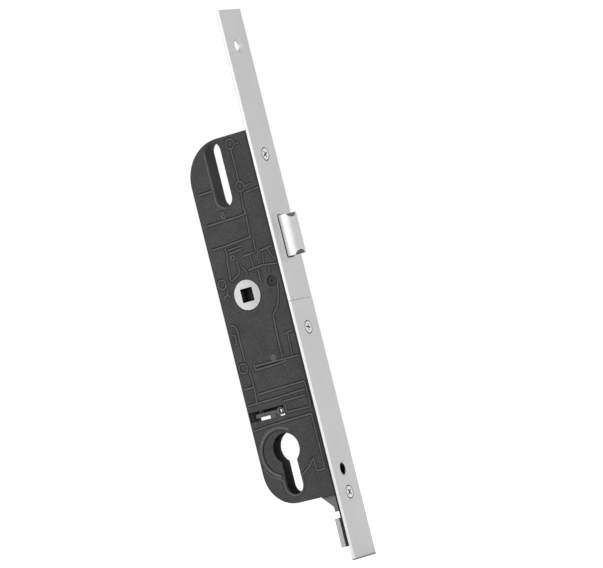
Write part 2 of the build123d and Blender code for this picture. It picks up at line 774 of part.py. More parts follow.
# Drive slide: fork for the hub arm, bar with two deadlock notches, tongue to the rail.
slide_thick = layer_deep - layer_gap
with BuildPart() as drive_slide:
    with BuildSketch(layer(layer_deep)):
        head_height = slide_top - slide_head_foot
        with Locations(((slide_head_start + slide_front) / 2, slide_top - head_height / 2)):
            Rectangle(slide_front - slide_head_start, head_height)
        bar_height = slide_head_foot + slide_foot_drop
        with Locations(((slide_bar_start + slide_front) / 2, slide_head_foot - bar_height / 2)):
            Rectangle(slide_front - slide_bar_start, bar_height)
        with Locations(((slide_head_start - overrun + fork_floor) / 2, fork_height)):
            Rectangle(fork_floor - slide_head_start + overrun, 2 * fork_half, mode=Mode.SUBTRACT)
        with Locations(
            ((slide_bar_start - overrun + notch_floor) / 2, -deadlock_drop),
            ((slide_bar_start - overrun + notch_floor) / 2, -deadlock_drop + rail_travel),
        ):
            Rectangle(notch_floor - slide_bar_start + overrun, 2 * notch_half, mode=Mode.SUBTRACT)
    extrude(amount=slide_thick)
    with BuildSketch(layer(layer_deep - tongue_inset)):
        with Locations(((slide_front + rail_front) / 2, -tongue_drop - tongue_height / 2)):
            Rectangle(rail_front - slide_front, tongue_height)
    extrude(amount=slide_thick - 2 * tongue_inset)
drive_slide.part.label = "drive_slide"
export_step(drive_slide.part, "parts/drive_slide.step")

# Guide posts along the rear edge of the drive slide.
with BuildPart() as slide_guides:
    with BuildSketch(layer(inner_half)):
        with Locations(*[(slide_bar_start - turn_clear - guide_radius, -drop) for drop in guide_drops]):
            Circle(guide_radius)
    extrude(amount=2 * inner_half)
slide_guides.part.label = "slide_guides"
export_step(slide_guides.part, "parts/slide_guides.step")

# Rail between the case and the faceplate, wider at its lower end.
rail_slot_top_drop = cylinder_screw_drop - cylinder_hole_radius - rail_slot_clear - rail_travel
rail_slot_foot_drop = lower_screw_drop + boss_fall + rail_slot_clear
rail_slot_height = rail_slot_foot_drop - rail_slot_top_drop
with BuildPart() as drive_rail:
    with BuildSketch(Plane.YZ.offset(rail_rear)):
        with Locations((0, -(rail_head_drop + connector_drop) / 2)):
            Rectangle(rail_width, connector_drop - rail_head_drop)
        with Locations((0, -connector_drop - connector_height / 2)):
            Rectangle(rail_end_width, connector_height)
        with Locations((0, -(rail_slot_top_drop + rail_slot_foot_drop) / 2)):
            Rectangle(2 * (boss_half + rail_slot_clear), rail_slot_height, mode=Mode.SUBTRACT)
        with Locations(((layer_deep + layer_gap) / 2, -tongue_drop - tongue_height / 2)):
            Rectangle(slide_thick - 2 * tongue_inset, tongue_height, mode=Mode.SUBTRACT)
        with Locations((0, -connector_drop - connector_height / 2)):
            with GridLocations(0, connector_rivet_spacing, 1, 2):
                Circle(connector_rivet_radius, mode=Mode.SUBTRACT)
    extrude(amount=rail_thick)
drive_rail.part.label = "drive_rail"
export_step(drive_rail.part, "parts/drive_rail.step")

# Connector block on the back of the rail end, with a groove down each side.
connector_rear = rail_rear - connector_thick
with BuildPart() as rail_connector:
    with BuildSketch(Plane.YZ.offset(connector_rear)):
        with Locations((0, -connector_drop - connector_height / 2)):
            Rectangle(connector_width, connector_height)
            with GridLocations(0, connector_rivet_spacing, 1, 2):
                Circle(connector_rivet_radius, mode=Mode.SUBTRACT)
    extrude(amount=connector_thick)
    chamfer(edges().filter_by(Axis.Z).sort_by(Axis.X)[:2], length=connector_groove)
rail_connector.part.label = "rail_connector"
export_step(rail_connector.part, "parts/rail_connector.step")

with BuildPart() as connector_rivets:
    with BuildSketch(Plane.YZ.offset(connector_rear)):
        with Locations((0, -connector_drop - connector_height / 2)):
            with GridLocations(0, connector_rivet_spacing, 1, 2):
                Circle(connector_rivet_radius)
    extrude(amount=connector_thick + rail_thick)
connector_rivets.part.label = "connector_rivets"
export_step(connector_rivets.part, "parts/connector_rivets.step")

# Deadlock slide above the cylinder: two slotted pads, two teeth for the cam, a nose.
deadlock_slot_half = deadlock_pin_radius + turn_clear / 2
deadlock_slot_length = deadlock_throw + 2 * deadlock_slot_half
deadlock_thick = slide_thick - 2 * deadlock_inset
pad_end = slide_bar_start - deadlock_throw - part_clear
with BuildPart() as deadlock_slide:
    with BuildSketch(layer(layer_deep - deadlock_inset)):
        with BuildLine():
            Polyline(
                (deadlock_start, -deadlock_drop - deadlock_pad_half),
                (deadlock_left_pad - deadlock_tooth_width, -deadlock_drop - deadlock_pad_half),
                (deadlock_left_pad - deadlock_tooth_width, -deadlock_tooth_drop),
                (deadlock_left_pad, -deadlock_tooth_drop),
                (deadlock_left_pad, -deadlock_bar_foot_drop),
                (deadlock_right_pad, -deadlock_bar_foot_drop),
                (deadlock_right_pad, -deadlock_tooth_drop),
                (deadlock_right_pad + deadlock_tooth_width, -deadlock_tooth_drop),
                (deadlock_right_pad + deadlock_tooth_width, -deadlock_drop - deadlock_pad_half),
                (pad_end, -deadlock_drop - deadlock_pad_half),
                (pad_end, -deadlock_drop - deadlock_nose_half),
                (deadlock_nose_tip, -deadlock_drop - deadlock_nose_half),
                (deadlock_nose_tip, -deadlock_drop + deadlock_nose_half),
                (pad_end, -deadlock_drop + deadlock_nose_half),
                (pad_end, -deadlock_drop + deadlock_pad_half),
                (deadlock_right_pad, -deadlock_drop + deadlock_pad_half),
                (deadlock_right_pad, -deadlock_bar_top_drop),
                (deadlock_left_pad, -deadlock_bar_top_drop),
                (deadlock_left_pad, -deadlock_drop + deadlock_pad_half),
                (deadlock_start, -deadlock_drop + deadlock_pad_half),
                close=True,
            )
        make_face()
        with Locations(*[(x - deadlock_throw / 2, -deadlock_drop) for x in deadlock_pin_places]):
            SlotOverall(deadlock_slot_length, 2 * deadlock_slot_half, mode=Mode.SUBTRACT)
    extrude(amount=deadlock_thick)
deadlock_slide.part.label = "deadlock_slide"
export_step(deadlock_slide.part, "parts/deadlock_slide.step")

with BuildPart() as deadlock_pins:
    with BuildSketch(layer(inner_half)):
        with Locations(*[(x, -deadlock_drop) for x in deadlock_pin_places]):
            Circle(deadlock_pin_radius)
    extrude(amount=2 * inner_half)
deadlock_pins.part.label = "deadlock_pins"
export_step(deadlock_pins.part, "parts/deadlock_pins.step")

# Tumbler seen in the side window: eye, open ring, thin arm, and a tooth over the slide.
with BuildPart() as tumbler:
    with BuildSketch(layer(tumbler_layer)):
        with Locations((tumbler_pin_x, -tumbler_drop)):
            Circle(tumbler_eye_radius)
        with Locations((tumbler_ring_x, -tumbler_drop)):
            Circle(tumbler_ring_radius)
        with Locations(((tumbler_pin_x + tumbler_end_x) / 2, -tumbler_drop)):
            Rectangle(tumbler_pin_x - tumbler_end_x, 2 * tumbler_arm_half)
        with Locations((tumbler_ring_x, -tumbler_drop)):
            Circle(tumbler_ring_hole, mode=Mode.SUBTRACT)
        with Locations((tumbler_pin_x, -tumbler_drop)):
            Circle(tumbler_pin_radius + turn_clear / 2, mode=Mode.SUBTRACT)
        tooth_height = tumbler_tooth_foot_drop - tumbler_drop
        with Locations((tumbler_tooth_start + tumbler_tooth_width / 2, -tumbler_drop - tooth_height / 2)):
            Rectangle(tumbler_tooth_width, tooth_height)
    extrude(amount=tumbler_thick)
    tooth_deep = layer_deep - deadlock_inset - tumbler_layer
    with BuildSketch(layer(layer_deep - deadlock_inset)):
        with Locations((tumbler_tooth_start + tumbler_tooth_width / 2, -tumbler_drop - tooth_height / 2)):
            Rectangle(tumbler_tooth_width, tooth_height)
    extrude(amount=tooth_deep)
tumbler.part.label = "tumbler"
export_step(tumbler.part, "parts/tumbler.step")

with BuildPart() as tumbler_pin:
    with BuildSketch(layer(inner_half)):
        with Locations((tumbler_pin_x, -tumbler_drop)):
            Circle(tumbler_pin_radius)
    extrude(amount=2 * inner_half)
tumbler_pin.part.label = "tumbler_pin"
export_step(tumbler_pin.part, "parts/tumbler_pin.step")

# Tumbler spring from the shelf of the case down to the arm.
tumbler_spring_top = -shelf_drop - shelf_thick - spring_end_gap - tumbler_spring_wire / 2
tumbler_spring_foot = -tumbler_drop + tumbler_arm_half + spring_end_gap + tumbler_spring_wire / 2
tumbler_spring_length = tumbler_spring_top - tumbler_spring_foot
tumbler_path = Helix(
    pitch=tumbler_spring_length / tumbler_spring_turns,
    height=tumbler_spring_length,
    radius=tumbler_spring_radius,
    center=(tumbler_spring_x, tumbler_layer - tumbler_thick / 2, tumbler_spring_foot),
)
with BuildPart() as tumbler_spring:
    with BuildSketch(Plane(origin=tumbler_path @ 0, z_dir=tumbler_path % 0)):
        Circle(tumbler_spring_wire / 2)
    sweep(path=tumbler_path, is_frenet=True)
tumbler_spring.part.label = "tumbler_spring"
export_step(tumbler_spring.part, "parts/tumbler_spring.step")

drive_ratio = rail_travel / (drive_swing_angle * pi / 180)
print("rail travel per radian of the drive half", round(drive_ratio, 4), "mm")
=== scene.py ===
import bpy
import numpy as np
from mathutils import Matrix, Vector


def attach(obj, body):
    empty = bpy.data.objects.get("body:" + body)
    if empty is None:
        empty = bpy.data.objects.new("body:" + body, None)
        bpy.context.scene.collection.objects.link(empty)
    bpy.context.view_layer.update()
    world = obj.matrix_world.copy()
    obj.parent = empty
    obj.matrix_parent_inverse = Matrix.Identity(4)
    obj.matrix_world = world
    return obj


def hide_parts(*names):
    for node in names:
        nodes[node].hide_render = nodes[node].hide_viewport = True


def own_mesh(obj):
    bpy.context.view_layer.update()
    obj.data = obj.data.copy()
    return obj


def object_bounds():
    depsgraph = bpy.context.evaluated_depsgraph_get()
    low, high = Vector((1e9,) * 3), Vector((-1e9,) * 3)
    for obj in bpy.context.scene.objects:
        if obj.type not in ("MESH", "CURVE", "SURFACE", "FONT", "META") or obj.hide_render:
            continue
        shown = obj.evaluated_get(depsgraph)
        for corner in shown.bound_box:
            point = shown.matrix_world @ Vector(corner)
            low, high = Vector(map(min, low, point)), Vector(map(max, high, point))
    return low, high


# Multipoint door lock: powder-coated gearbox case behind a satin faceplate, lit as a product shot.
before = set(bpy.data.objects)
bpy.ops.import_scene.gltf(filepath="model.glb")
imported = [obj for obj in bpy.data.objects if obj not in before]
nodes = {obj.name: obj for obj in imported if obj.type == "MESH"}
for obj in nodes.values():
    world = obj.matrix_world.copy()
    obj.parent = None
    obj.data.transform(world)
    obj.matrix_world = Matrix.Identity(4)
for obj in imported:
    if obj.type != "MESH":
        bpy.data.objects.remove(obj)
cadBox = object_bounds()
mm = 0.001
print("frame loaded,", len(nodes), "nodes")


def linear(hexText):  # sRGB hex to the linear colour that the shaders take
    parts = np.array([int(hexText[i:i + 2], 16) / 255 for i in (1, 3, 5)])
    curve = np.where(parts <= 0.04045, parts / 12.92, ((parts + 0.055) / 1.055) ** 2.4)
    return (*curve.tolist(), 1.0)


def addNode(tree, kind, settings=(), links=()):  # a node, its settings, and what feeds its sockets
    node = tree.nodes.new(kind)
    for key, value in dict(settings).items():
        if isinstance(key, str) and hasattr(node, key):
            setattr(node, key, value)
        else:
            node.inputs[key].default_value = value
    for key, source in dict(links).items():
        tree.links.new(source, node.inputs[key])
    return node


def gridFaces(rows, columns, start):  # quads round each row, and a fan of triangles at both ends
    across = np.arange(columns)
    after = (across + 1) % columns
    base = (np.arange(rows - 1) * columns)[:, None] + start
    quads = np.stack([base + across, base + after, base + columns + after, base + columns + across],
                     axis=-1)
    first, last = start + rows * columns, start + rows * columns + 1
    lastRow = start + (rows - 1) * columns
    heads = np.stack([np.full(columns, first), start + after, start + across], axis=-1)
    tails = np.stack([np.full(columns, last), lastRow + across, lastRow + after], axis=-1)
    return quads.reshape(-1, 4).tolist() + heads.tolist() + tails.tolist()


def shellVolume(rings):
    # Six times the signed volume of the closed skin, positive where its faces point outwards: the sum
    # over its triangles of a . (b x c).
    turned = np.roll(rings, -1, axis=1)
    a, b, c, d = rings[:-1], turned[:-1], turned[1:], rings[1:]
    sides = np.einsum("ijk,ijk->", a, np.cross(b, c)) + np.einsum("ijk,ijk->", a, np.cross(c, d))
    head = np.sum(np.cross(turned[0], rings[0]) @ rings[0].mean(0))
    tail = np.sum(np.cross(rings[-1], turned[-1]) @ rings[-1].mean(0))
    return sides + head + tail


def makePiece(name, shells, body, material):  # closed skins of rings, in mm, as one smooth piece
    points, faces = [], []
    count = 0
    for rings in shells:
        rings = np.asarray(rings, float)
        if shellVolume(rings - rings.mean((0, 1))) < 0:
            rings = rings[:, ::-1]
        rows, columns = rings.shape[:2]
        faces += gridFaces(rows, columns, count)
        points.append(np.concatenate([rings.reshape(-1, 3), [rings[0].mean(0), rings[-1].mean(0)]]))
        count += rows * columns + 2
    mesh = bpy.data.meshes.new(name)
    mesh.from_pydata((np.concatenate(points) * mm).tolist(), [], faces)
    mesh.polygons.foreach_set("use_smooth", np.ones(len(mesh.polygons), bool))
    mesh.materials.append(material)
    mesh.update()
    piece = bpy.data.objects.new(name, mesh)
    bpy.context.scene.collection.objects.link(piece)
    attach(piece, body)
    print(name, "made,", len(mesh.polygons), "faces")
    return piece


finishing = {               # what all finishes share
    "grainDetail": 3.0,
    "patchDetail": 2.0,
    "noiseLow": 0.3,        # the noise hardly leaves the span between these two
    "noiseHigh": 0.7,
    "edgeSamples": 4,
    "hollowShadeSamples": 8,
    "rubStarts": 0.995,     # how far an edge turns, as a cosine, where rubbing starts
    "rubFull": 0.86,        # and where it is complete
    "scoopShadeFade": 0.15,      # mm over which the painted shade of a scoop ends
}


def makeFinish(name, look, spec):
    # Colour between two tones by fine grain and broad patches, roughness and bump by the same grain.
    # Other tones lie over it: rubbed edges, a band of painted shade, painted shade in scoops, and
    # painted shade in closed places.
    material = bpy.data.materials.new(name)
    material.use_nodes = True
    tree = material.node_tree
    shader = tree.nodes["Principled BSDF"]
    low, high = spec["noiseLow"], spec["noiseHigh"]
    place = addNode(tree, "ShaderNodeTexCoord").outputs["Object"]
    drawn = addNode(tree, "ShaderNodeMapping", {"Scale": look.get("stretch", (1, 1, 1))},
                    {"Vector": place})
    grain = addNode(tree, "ShaderNodeTexNoise",
                    {"Scale": 1 / (look["grain"] * mm), "Detail": spec["grainDetail"]},
                    {"Vector": drawn.outputs[0]})
    patch = addNode(tree, "ShaderNodeTexNoise",
                    {"Scale": 1 / (look["patch"] * mm), "Detail": spec["patchDetail"]},
                    {"Vector": place})
    blend = addNode(tree, "ShaderNodeMix", {"data_type": "FLOAT", 0: look["patchShare"]},
                    {2: grain.outputs[0], 3: patch.outputs[0]})
    spread = addNode(tree, "ShaderNodeMapRange", {"From Min": low, "From Max": high},
                     {"Value": blend.outputs[0]})
    base = addNode(tree, "ShaderNodeMix",
                   {"data_type": "RGBA", 6: linear(look["dark"]), 7: linear(look["light"])},
                   {0: spread.outputs[0]})
    smooth, rough = look["rough"]
    gloss = addNode(tree, "ShaderNodeMapRange",
                    {"From Min": low, "From Max": high, "To Min": smooth, "To Max": rough},
                    {"Value": grain.outputs[0]})
    soft = addNode(tree, "ShaderNodeBevel",
                   {"samples": spec["edgeSamples"], "Radius": look["edge"] * mm})
    bumps = addNode(tree, "ShaderNodeBump", {"Distance": look["bump"] * mm, "Strength": 1.0},
                    {"Height": grain.outputs[0], "Normal": soft.outputs[0]})

    coats = []  # where each tone lies over the base, and the tone
    if "worn" in look:
        true = addNode(tree, "ShaderNodeNewGeometry").outputs["Normal"]
        turn = addNode(tree, "ShaderNodeVectorMath", {"operation": "DOT_PRODUCT"},
                       {0: soft.outputs[0], 1: true})
        rubbed = addNode(tree, "ShaderNodeMapRange",
                         {"From Min": spec["rubStarts"], "From Max": spec["rubFull"]},
                         {"Value": turn.outputs["Value"]})
        coats.append((rubbed, look["worn"]))
    # A band of painted shade: the colour goes over to a darker tone along one axis.
    if "shadeBand" in look:
        axis, start, end, shadeBandTone = look["shadeBand"]
        spot = addNode(tree, "ShaderNodeSeparateXYZ", links={"Vector": place}).outputs[axis]
        passed = addNode(tree, "ShaderNodeMapRange", {"From Min": start * mm, "From Max": end * mm},
                         {"Value": spot})
        coats.append((passed, shadeBandTone))
    # Painted shade in the scoops, hollows along X.
    if "shadedScoops" in look:
        radius, heights, scoopShadeTone = look["shadedScoops"]
        for height in heights:
            flat = addNode(tree, "ShaderNodeMapping",
                           {"Location": (0, 0, -height * mm), "Scale": (0, 1, 1)}, {"Vector": place})
            away = addNode(tree, "ShaderNodeVectorMath", {"operation": "LENGTH"}, {0: flat.outputs[0]})
            inside = addNode(tree, "ShaderNodeMapRange",
                             {"From Min": (radius + spec["scoopShadeFade"]) * mm, "From Max": radius * mm},
                             {"Value": away.outputs["Value"]})
            coats.append((inside, scoopShadeTone))
    # Painted shade where the surface is closed in: occlusion darkens the colour towards this tone.
    reach, closed, openAt, hollowShadeTone = look["hollowShade"]
    near = addNode(tree, "ShaderNodeAmbientOcclusion",
                   {"samples": spec["hollowShadeSamples"], "Distance": reach * mm})
    shadedHollow = addNode(tree, "ShaderNodeMapRange", {"From Min": openAt, "From Max": closed},
                    {"Value": near.outputs["AO"]})
    coats.append((shadedHollow, hollowShadeTone))

    colour = base.outputs[2]
    for share, tone in coats:
        colour = addNode(tree, "ShaderNodeMix", {"data_type": "RGBA", 7: linear(tone)},
                         {0: share.outputs[0], 6: colour}).outputs[2]
    tree.links.new(colour, shader.inputs["Base Color"])
    tree.links.new(gloss.outputs[0], shader.inputs["Roughness"])
    tree.links.new(bumps.outputs[0], shader.inputs["Normal"])
    shader.inputs["Metallic"].default_value = look["metallic"]
    for key, value in look.get("sockets", {}).items():
        shader.inputs[key].default_value = value
    return material


# Sizes and places are in mm. Grain and patch are how coarse the noises are, patchShare is how much the
# patches give to the tone, and stretch draws the grain out along an axis. Edge is the radius that edges
# are softened to, and worn their rubbed tone. A shade band is painted shade that goes over to its tone
# along an axis, 0 for X, between two places. Shaded scoops are hollows along X with painted shade in
# them: their radius, their heights, their tone. Hollow shade is painted shade in closed places: its
# reach, how closed in is fully shaded, how open is clean, its tone.
finishes = {
    # Epoxy powder coat over a zinc casting: dead matt, with an orange-peel grain drawn three times as
    # coarse as the real 0.4 mm so that it shows. A painted shadow darkens it along the faceplate.
    "powderCoatedZinc": {
        "dark": "#2A2A2A", "light": "#4A4A4A", "worn": "#525252", "metallic": 0.0,
        "rough": (0.6, 0.75), "grain": 1.2, "patch": 9, "patchShare": 0.3, "bump": 0.07,
        "edge": 0.2, "shadeBand": (0, 24.0, 25.6, "#131313"), "hollowShade": (1.3, 0.4, 0.95, "#121212"),
        "sockets": {"Specular IOR Level": 0.3}},
    # The same coat on the raised lines, painted paler as a painted highlight, and smoother.
    "highlightedPowderCoat": {
        "dark": "#474747", "light": "#5E5E5E", "metallic": 0.0, "rough": (0.5, 0.65),
        "grain": 0.8, "patch": 7, "patchShare": 0.6, "bump": 0.03, "edge": 0.1,
        "hollowShade": (0.8, 0.3, 0.8, "#2A2A2A"), "sockets": {"Specular IOR Level": 0.3}},
    # Painted shadow along the feet of the raised lines: dark and matt.
    "paintedLineShadow": {
        "dark": "#191919", "light": "#2C2C2C", "metallic": 0.0, "rough": (0.65, 0.8),
        "grain": 0.8, "patch": 4, "patchShare": 0.7, "bump": 0.02, "edge": 0.1,
        "hollowShade": (0.8, 0.3, 0.8, "#141414"), "sockets": {"Specular IOR Level": 0.25}},
    # Zinc-plated steel strip, rolled: satin, with faint lines along its length about 0.3 mm apart.
    "zincPlatedStrip": {
        "dark": "#D5D5D5", "light": "#DEDEDE", "metallic": 1.0, "rough": (0.3, 0.4),
        "grain": 0.3, "patch": 30, "patchShare": 0.5, "bump": 0.002, "edge": 0.42,
        "stretch": (1, 1, 0.03), "hollowShade": (1.5, 0.6, 0.9, "#0C0C0C")},
    # Nickel-plated zinc casting, tumbled: a soft even gloss, darkened in the scoops by painted shade.
    "nickelPlatedZinc": {
        "dark": "#DCDCDC", "light": "#E2E2E2", "metallic": 1.0, "rough": (0.24, 0.28),
        "grain": 0.5, "patch": 5, "patchShare": 0.9, "bump": 0.0001, "edge": 0.4,
        "shadedScoops": (2.36, (15.3, 39.7), "#808080"), "hollowShade": (0.9, 0.25, 0.7, "#1C1C1C")},
    # Bright zinc casting with a turned face, with painted shade making it a little darker towards the
    # faceplate and dark in the square hole.
    "turnedZinc": {
        "dark": "#BEBEBE", "light": "#CACACA", "metallic": 1.0, "rough": (0.32, 0.42),
        "grain": 0.5, "patch": 5, "patchShare": 0.6, "bump": 0.003, "edge": 0.2,
        "shadeBand": (0, -5.0, 7.0, "#AEAEAE"), "hollowShade": (3.0, 0.55, 0.95, "#0E0E0E")},
    # Bright zinc-plated screw steel, cold headed, the recess dark with painted shade.
    "brightZincSteel": {
        "dark": "#F2F2F2", "light": "#FAFAFA", "metallic": 1.0, "rough": (0.25, 0.35),
        "grain": 0.4, "patch": 2, "patchShare": 0.5, "bump": 0.001, "edge": 0.12,
        "hollowShade": (1.2, 0.5, 0.92, "#2C2C2C")},
    # Blackened steel, headed in place.
    "blackenedSteel": {
        "dark": "#232324", "light": "#323233", "metallic": 1.0, "rough": (0.4, 0.55),
        "grain": 0.5, "patch": 3, "patchShare": 0.4, "bump": 0.006, "edge": 0.2,
        "hollowShade": (1.5, 0.4, 0.9, "#0C0C0C")},
    # Zinc as it leaves the die: dull, faintly mottled.
    "asCastZinc": {
        "dark": "#666666", "light": "#7A7A7A", "metallic": 1.0, "rough": (0.42, 0.58),
        "grain": 0.7, "patch": 5, "patchShare": 0.5, "bump": 0.01, "edge": 0.3,
        "hollowShade": (5.0, 0.4, 0.95, "#1C1C1D")},
    # Phosphated steel strip: dark and dry, with rolling lines along it.
    "phosphatedStrip": {
        "dark": "#303030", "light": "#404040", "metallic": 1.0, "rough": (0.45, 0.6),
        "grain": 0.35, "patch": 12, "patchShare": 0.5, "bump": 0.005, "edge": 0.2,
        "stretch": (1, 1, 0.05), "hollowShade": (4.0, 0.45, 0.95, "#0E0E0E")},
    # Zinc casting tumbled in grit: mid grey, even and soft.
    "tumbledZinc": {
        "dark": "#A4A4A4", "light": "#B2B2B2", "metallic": 1.0, "rough": (0.36, 0.5),
        "grain": 0.6, "patch": 5, "patchShare": 0.4, "bump": 0.008, "edge": 0.3,
        "hollowShade": (2.0, 0.3, 0.85, "#262627")},
    # Oiled stamped steel inside the case: dark grey with a shallow roll grain.
    "oiledSteel": {
        "dark": "#4A4A4A", "light": "#5A5A5A", "metallic": 1.0, "rough": (0.32, 0.45),
        "grain": 0.4, "patch": 8, "patchShare": 0.5, "bump": 0.004, "edge": 0.15,
        "stretch": (0.2, 1, 1), "hollowShade": (3.0, 0.3, 0.9, "#0E0E0F")},
    # Stamped steel, greased, with its edges worn bright where it slides.
    "slidingSteel": {
        "dark": "#484848", "light": "#666666", "worn": "#B0B0B0", "metallic": 1.0,
        "rough": (0.32, 0.45), "grain": 0.6, "patch": 3, "patchShare": 0.6, "bump": 0.004,
        "edge": 0.3, "hollowShade": (1.6, 0.2, 0.8, "#161616")},
    # Oil-tempered spring wire: dark with a thin oily gloss.
    "springWire": {
        "dark": "#77787A", "light": "#8E8F91", "metallic": 1.0, "rough": (0.25, 0.35),
        "grain": 0.3, "patch": 2, "patchShare": 0.3, "bump": 0.002, "edge": 0.05,
        "hollowShade": (1.5, 0.2, 0.8, "#1A1A1A")},
    # Black acetal, turned from rod: waxy and dark.
    "blackAcetal": {
        "dark": "#1D1D1E", "light": "#262627", "metallic": 0.0, "rough": (0.3, 0.4),
        "grain": 0.5, "patch": 3, "patchShare": 0.3, "bump": 0.003, "edge": 0.1,
        "hollowShade": (1.5, 0.2, 0.8, "#0C0C0C")},
}
materials = {name: makeFinish(name, look, finishing) for name, look in finishes.items()}

nodeFinishes = {
    "powderCoatedZinc": ("case_body", "case_cover", "case_rivets"),
    "zincPlatedStrip": ("faceplate_upper", "faceplate_lower"),
    "turnedZinc": ("latch_follower", "drive_follower"),
    "blackenedSteel": ("tail_rivets", "connector_rivets", "separator"),
    "asCastZinc": ("lower_bracket",),
    "phosphatedStrip": ("drive_rail", "stop_stud"),
    "tumbledZinc": ("rail_connector",),
    "oiledSteel": ("latch_guide_pin", "deadlock_pins", "latch_tail", "drive_slide", "deadlock_slide"),
    "slidingSteel": ("tumbler", "tumbler_pin"),
    "springWire": ("latch_spring", "tumbler_spring"),
    "blackAcetal": ("slide_guides",),
    "nickelPlatedZinc": ("latch_bolt",),
    "brightZincSteel": ("faceplate_screws",),
    "highlightedPowderCoat": ("cover_ribs",),
}
for finish, members in nodeFinishes.items():
    for member in members:
        mesh = nodes[member].data
        mesh.materials.clear()
        mesh.materials.append(materials[finish])
print("materials made,", len(materials))


def arcPoints(centre, radius, start, sweep, count):  # X and Z along an arc, degrees from X to Z
    angle = np.radians(start + sweep * np.linspace(0, 1, count))
    return np.stack([centre[0] + radius * np.cos(angle), centre[1] + radius * np.sin(angle)],
                    axis=1).tolist()


relief = {
    "face": -5.0,       # the cover's near face, in Y
    "width": 1.2,
    "height": 0.5,
    "sunk": 0.15,       # how far the bead's foot goes into the cover
    "step": 0.45,       # spacing of the rings along a line
    "columns": 12,      # points round a bead
    "cornerCut": 0.9,   # where a corner's curve begins and ends
    "cornerShare": 0.45,        # but never past this much of a run
    "cornerPoints": 7,
    "noseRings": 5,
    "noseStart": 0.15,  # how far round the nose its first ring lies, in radians
    "lines": [          # X and Z of each line's corners, in mm
        ((16.7, 86.3), (20.0, 86.9)),
        ((12.9, 84.0), (13.2, 76.5), (13.0, 65.2)),
        ((15.4, 57.6), (25.1, 58.6)),
        ((16.2, 61.2), (20.6, 61.9)),
        ((-16.3, 63.5), (-6.2, 63.6)),
        ((12.6, 58.8), (11.8, 49.3), (12.3, 46.0)),
        ((-16.4, 44.6), (-1.5, 45.1), (5.2, 45.1), (13.1, 46.0)),
        ((-1.6, 50.2), (-5.9, 50.0)),
        ((12.3, 45.0), (11.4, 32.3)),
        ((-16.8, 30.4), (-6.7, 30.6), (12.3, 32.1)),
        ((13.1, 29.9), (12.5, 23.2)),
        ((3.2, 22.2), (12.4, 22.9)),
        ((15.2, 22.6), (24.5, 24.0)),
        ((-5.7, 27.7), (4.8, 28.6)),
        ((-5.6, 25.8), (3.4, 26.7)),
        ((-7.3, 29.9), (-6.7, 25.3), (-8.0, 21.9), (-8.2, 16.6), (-8.9, 9.6), (-2.1, 12.8),
         (-1.0, 16.4), (-2.0, 20.6)),
        ((0.5, 16.8), (2.3, 15.3), (3.6, 10.9)),
        ((8.2, 22.2), (8.6, 14.0)),
        ((4.4, 13.6), (15.0, 14.4), (25.2, 13.2)),
        ((17.0, 21.8), (15.9, 14.9)),
        ((20.7, 23.1), (22.4, 18.6), (24.8, 15.9)),
        ((11.1, 12.9), (11.3, 3.6)),
        ((18.8, 13.2), (18.3, 8.1)),
        ((-12.5, 6.3), (-13.2, 3.0), (-16.5, 1.4)),
        ((-13.2, 3.0), (-11.0, 1.0)),
        ((21.9, 2.6), (21.3, -2.0), (20.1, -6.3), (18.0, -11.0), (13.7, -15.0), (13.1, -26.1),
         (13.0, -40.8)),
        ((-16.6, -14.6), (-13.7, -15.6), (-12.6, -19.4), (-12.8, -25.3), (-12.5, -33.8),
         (-12.9, -37.6)),
        ((-17.4, -20.4), (-14.8, -21.2), (-15.0, -25.6), (-17.2, -27.0)),
        ((-11.2, -43.2), (-10.9, -52.3), (-11.6, -62.3)),
        ((-17.8, -53.2), (-11.1, -52.9)),
        ((-7.2, -39.4), (-7.1, -43.7), (5.9, -43.4), (16.0, -42.6)),
        ((-6.6, -41.4), (5.9, -41.3), (16.3, -41.5), (24.9, -41.4)),
        ((20.3, -27.2), (19.9, -40.8)),
        ((18.2, -27.8), (20.2, -26.8), (24.4, -26.6)),
        ((-9.9, -57.8), (5.0, -57.2), (23.7, -56.7), (23.8, -71.9), (6.8, -71.8), (6.9, -66.0)),
        ((-18.2, -62.9), (1.4, -62.3), (22.8, -61.3)),
        ((4.8, -65.2), (22.5, -64.6)),
        ((-18.2, -78.0), (-7.0, -77.0), (5.5, -76.5), (22.8, -75.9), (22.9, -108.6), (17.0, -108.9),
         (17.0, -101.0), (13.0, -105.1), (6.5, -109.3)),
    ],
    "rims": (           # beads along the openings, each with its own width and height
        (1.2, 0.5, ((6.7, -109.2), (6.4, -110.4), (6.4, -113.6),
                    *arcPoints((0, -113.6), 6.4, -20, -140, 9),
                    (-6.4, -113.6), (-6.6, -110.0), (-8.4, -108.6), (-12.9, -106.9), (-16.0, -103.8),
                    (-17.7, -100.2))),
        (1.5, 0.45, ((-5.5, 87.0), *arcPoints((0.5, 57.9), 6.0, 180, 95, 10))),
        (2.1, 0.3, arcPoints((-3.0, -93.7), 14.3, 54, 200, 60)),
    ),
    "rings": (          # X, Z and radius of the round beads
        (13.2, 87.2, 2.9), (12.9, 62.0, 2.9), (-15.0, -41.0, 2.9), (-15.2, 9.4, 2.7),
        (-2.7, 47.7, 1.3), (-3.6, 22.9, 1.3)),
    "ringArc": (40, 368, 50),       # start, sweep and points: past a full turn, so that the ends meet
    "buttons": ((6.9, -39.2, 2.1),),
    "buttonHeight": 0.4,
    "buttonRings": 9,
    "buttonColumns": 40,
    "buttonGap": 0.05,  # how far short of the pole the last ring stays, in radians
}

lineShadow = {
    "width": 2.0,
    "height": 0.05,
    "columns": 6,
    "shift": (-0.26, 0.2),      # painted shadow set up and back of each line
    "shadowedRings": 4,            # the larger ones
}


